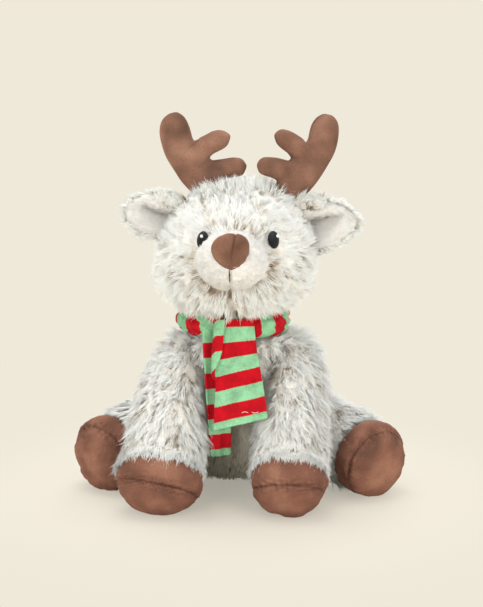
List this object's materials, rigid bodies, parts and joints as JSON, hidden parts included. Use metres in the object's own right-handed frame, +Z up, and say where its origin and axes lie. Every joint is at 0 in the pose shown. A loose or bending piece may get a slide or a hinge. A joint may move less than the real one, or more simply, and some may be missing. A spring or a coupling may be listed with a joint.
{
  "type": "plush deer",
  "caption": "Seated stuffed deer in long white pile, with velvety brown hooves, nose and antlers and a striped scarf.",
  "frame": {"origin": "middle of the rectangle of floor that the seated toy covers", "axes": "+Z up, the face looks along -Y, the deer's own left is +X"},
  "size_m": [0.2876, 0.2218, 0.3321],
  "materials": {
    "long_pile": "long combed pile, white tips over brown roots",
    "belly_pile": "short combed plush",
    "short_pile": "short dense pile",
    "brown_velour": "soft velour with a light sheen",
    "dark_thread": "satin-stitch embroidery",
    "white_thread": "satin-stitch embroidery",
    "scarf_velour": "printed velour, red and green stripes",
    "stuffing": "polyester fibre",
    "pouch_cloth": "plain woven pouch of pellets"
  },
  "bodies": {
    "torso": {"body_cover": "long_pile", "belly_panel": "belly_pile", "pellet_pouch": "pouch_cloth", "body_stuffing": "stuffing", "scarf_loop": "scarf_velour"},
    "neck": {"neck": "stuffing"},
    "head": {"head_cover": "long_pile", "head_stuffing": "stuffing", "muzzle": "short_pile", "nose": "brown_velour", "mouth_stitch": "dark_thread", "eye_right": "dark_thread", "eye_highlight_right": "white_thread", "eye_left": "dark_thread", "eye_highlight_left": "white_thread"},
    "ear_right": {"ear_back_right": "long_pile", "ear_lining_right": "short_pile"},
    "ear_left": {"ear_back_left": "long_pile", "ear_lining_left": "short_pile"},
    "antler_right": {"antler_right": "brown_velour"},
    "antler_left": {"antler_left": "brown_velour"},
    "front_leg_right": {"front_leg_right": "long_pile", "front_hoof_right": "brown_velour", "front_sole_right": "brown_velour", "front_leg_stuffing_right": "stuffing"},
    "front_leg_left": {"front_leg_left": "long_pile", "front_hoof_left": "brown_velour", "front_sole_left": "brown_velour", "front_leg_stuffing_left": "stuffing"},
    "rear_leg_right": {"rear_leg_right": "long_pile", "rear_hoof_right": "brown_velour", "rear_sole_right": "brown_velour", "rear_leg_stuffing_right": "stuffing"},
    "rear_leg_left": {"rear_leg_left": "long_pile", "rear_hoof_left": "brown_velour", "rear_sole_left": "brown_velour", "rear_leg_stuffing_left": "stuffing"},
    "tail": {"tail": "long_pile"},
    "scarf_back": {"scarf_end_back": "scarf_velour"},
    "scarf_front": {"scarf_end_front": "scarf_velour"}
  },
  "joints": [
    {"name": "head_turn", "type": "hinge", "parent": "torso", "child": "neck", "pos_m": [-0.0005, 0.00495, 0.15], "axis": [0, 0, 1], "range_deg": [-20, 20], "stiffness_Nm_per_rad": 0.3},
    {"name": "head_nod", "type": "hinge", "parent": "neck", "child": "head", "pos_m": [-0.0005, 0.00495, 0.15], "axis": [-1, 0, 0], "range_deg": [0, 12], "stiffness_Nm_per_rad": 0.5},
    {"name": "ear_right_flap", "type": "hinge", "parent": "head", "child": "ear_right", "pos_m": [-0.05904, -0.00828, 0.24399], "axis": [0, 1, 0], "range_deg": [-20, 20], "stiffness_Nm_per_rad": 0.05},
    {"name": "ear_left_flap", "type": "hinge", "parent": "head", "child": "ear_left", "pos_m": [0.05784, -0.00866, 0.24274], "axis": [0, -1, 0], "range_deg": [-20, 20], "stiffness_Nm_per_rad": 0.05},
    {"name": "antler_right_bend", "type": "hinge", "parent": "head", "child": "antler_right", "pos_m": [-0.0305, -0.00105, 0.26801], "axis": [1, 0, 0], "range_deg": [-15, 15], "stiffness_Nm_per_rad": 0.1},
    {"name": "antler_left_bend", "type": "hinge", "parent": "head", "child": "antler_left", "pos_m": [0.0445, -0.00105, 0.25999], "axis": [1, 0, 0], "range_deg": [-15, 15], "stiffness_Nm_per_rad": 0.1},
    {"name": "front_leg_right_swing", "type": "hinge", "parent": "torso", "child": "front_leg_right", "pos_m": [-0.05451, -0.01104, 0.118], "axis": [-0.4472, 0.8944, 0], "range_deg": [0, 40], "stiffness_Nm_per_rad": 0.15},
    {"name": "front_leg_left_swing", "type": "hinge", "parent": "torso", "child": "front_leg_left", "pos_m": [0.05351, -0.01104, 0.118], "axis": [-0.4472, -0.8944, 0], "range_deg": [0, 40], "stiffness_Nm_per_rad": 0.15},
    {"name": "rear_leg_right_swing", "type": "hinge", "parent": "torso", "child": "rear_leg_right", "pos_m": [-0.05846, 0.02697, 0.04598], "axis": [0, 0, -1], "range_deg": [0, 25], "stiffness_Nm_per_rad": 0.15},
    {"name": "rear_leg_left_swing", "type": "hinge", "parent": "torso", "child": "rear_leg_left", "pos_m": [0.05746, 0.02697, 0.04598], "axis": [0, 0, 1], "range_deg": [0, 25], "stiffness_Nm_per_rad": 0.15},
    {"name": "tail_wag", "type": "hinge", "parent": "torso", "child": "tail", "pos_m": [-0.0005, 0.09043, 0.04626], "axis": [1, 0, 0], "range_deg": [-20, 20], "stiffness_Nm_per_rad": 0.03},
    {"name": "scarf_back_lift", "type": "hinge", "parent": "torso", "child": "scarf_back", "pos_m": [-0.0025, -0.04331, 0.1585], "axis": [-1, 0, 0], "range_deg": [0, 20]},
    {"name": "scarf_front_lift", "type": "hinge", "parent": "scarf_back", "child": "scarf_front", "pos_m": [-0.0025, -0.04331, 0.1585], "axis": [-1, 0, 0], "range_deg": [0, 35]}
  ]
}
